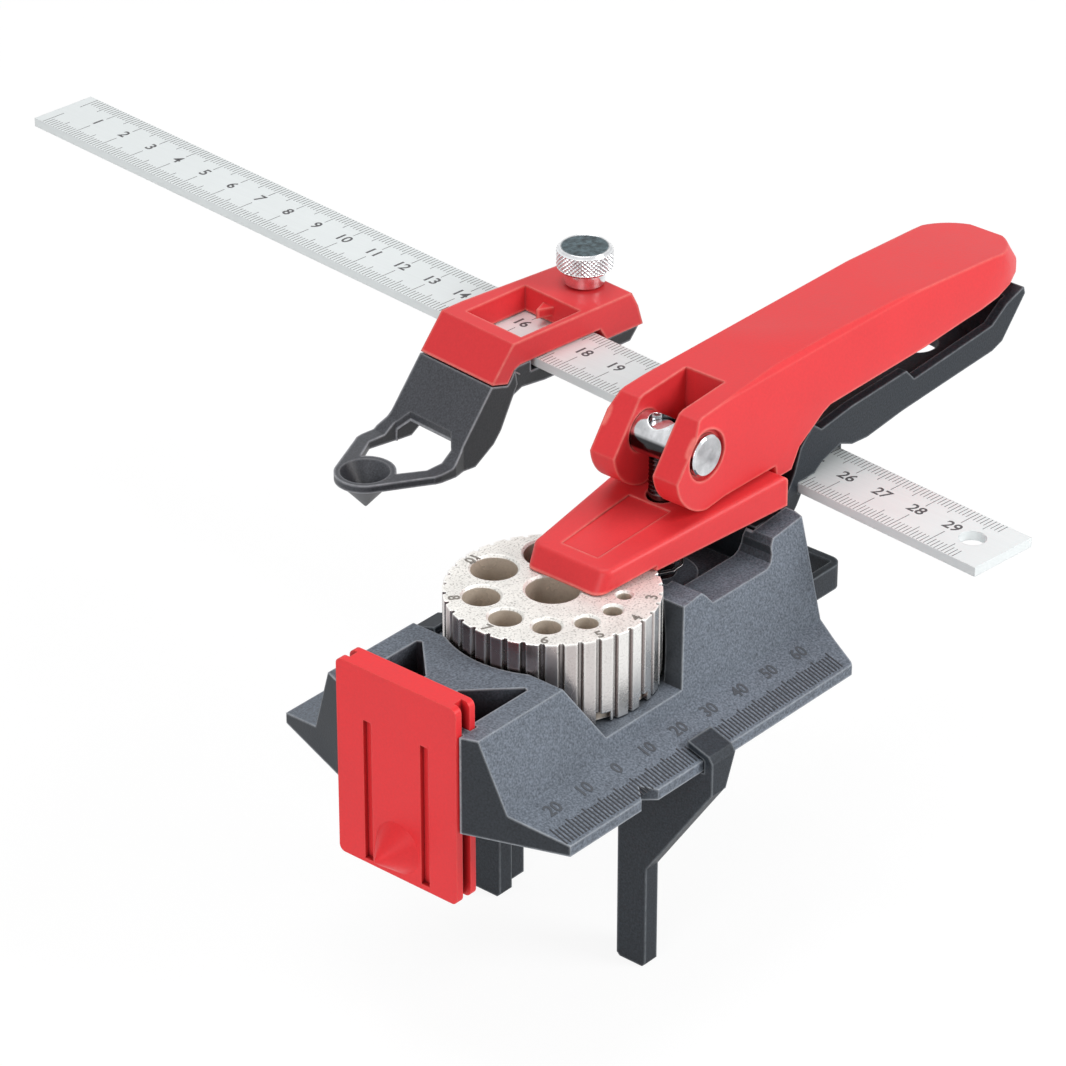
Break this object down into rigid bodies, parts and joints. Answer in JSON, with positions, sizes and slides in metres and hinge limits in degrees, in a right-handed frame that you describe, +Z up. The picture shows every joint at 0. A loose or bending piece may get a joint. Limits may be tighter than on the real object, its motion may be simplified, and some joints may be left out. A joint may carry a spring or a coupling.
{
  "type": "drilling jig",
  "caption": "Dowel drilling jig: turning drum of guide holes under a cam clamp, sliding fence and end stop, and a ruler arm with a sliding centring cone.",
  "frame": {"origin": "on the axis of the guide hole in use, in the plane of the work face", "axes": "+X towards the handle, +Y across the jig towards the zero end of the ruler, +Z up out of the work face"},
  "size_m": [0.2108, 0.3078, 0.1163],
  "materials": {
    "grey_plastic": "fine moulded texture",
    "black_plastic": "fine moulded texture",
    "red_plastic": "satin moulded",
    "sintered_steel": "tumbled, matt",
    "plated_steel": "bright plated",
    "ruler_aluminium": "satin anodised"
  },
  "bodies": {
    "jig_body": {"body": "grey_plastic", "lower_grip": "black_plastic", "grip_screws": "plated_steel", "clamp_stud": "plated_steel", "stud_nut": "plated_steel", "stud_washer": "plated_steel", "barrel_nut": "plated_steel", "detent_pin": "plated_steel", "detent_spring": "plated_steel"},
    "drum": {"drum": "sintered_steel"},
    "clamp_lever": {"clamp_lever": "red_plastic"},
    "clamp_plate": {"clamp_plate": "red_plastic", "clamp_spring": "plated_steel"},
    "end_plate": {"end_plate": "red_plastic"},
    "fence": {"fence": "black_plastic"},
    "ruler": {"ruler": "ruler_aluminium"},
    "slider": {"slider_cap": "red_plastic", "slider_bracket": "black_plastic", "screw_nut": "plated_steel"},
    "thumb_screw": {"thumb_screw": "plated_steel"}
  },
  "joints": [
    {"name": "drum_turn", "type": "hinge", "parent": "jig_body", "child": "drum", "pos_m": [0.015, 0, 0.0097], "axis": [0, 0, 1], "continuous": true},
    {"name": "lever_swing", "type": "hinge", "parent": "jig_body", "child": "clamp_lever", "pos_m": [0.0505, 0, 0.0504], "axis": [0, -1, 0], "range_deg": [0, 100]},
    {"name": "plate_lift", "type": "slide", "parent": "jig_body", "child": "clamp_plate", "axis": [0, 0, 1], "range_m": [0, 0.00384], "deforming": ["clamp_spring"]},
    {"name": "end_plate_slide", "type": "slide", "parent": "jig_body", "child": "end_plate", "axis": [0, 0, 1], "range_m": [-0.004, 0.0166]},
    {"name": "fence_slide", "type": "slide", "parent": "jig_body", "child": "fence", "axis": [1, 0, 0], "range_m": [-0.037, 0.043]},
    {"name": "ruler_slide", "type": "slide", "parent": "jig_body", "child": "ruler", "axis": [0.0889, 0.996, 0], "range_m": [-0.012, 0.05]},
    {"name": "slider_slide", "type": "slide", "parent": "ruler", "child": "slider", "axis": [0.0889, 0.996, 0], "range_m": [-0.014, 0.145]},
    {"name": "thumb_turn", "type": "hinge", "parent": "slider", "child": "thumb_screw", "pos_m": [0.1146, 0.07544, 0.0462], "axis": [0, 0, 1], "range_deg": [-180, 180]}
  ],
  "couplings": [
    {"joint": "plate_lift", "follows": "lever_swing", "m_per_rad": 0.0022}
  ]
}
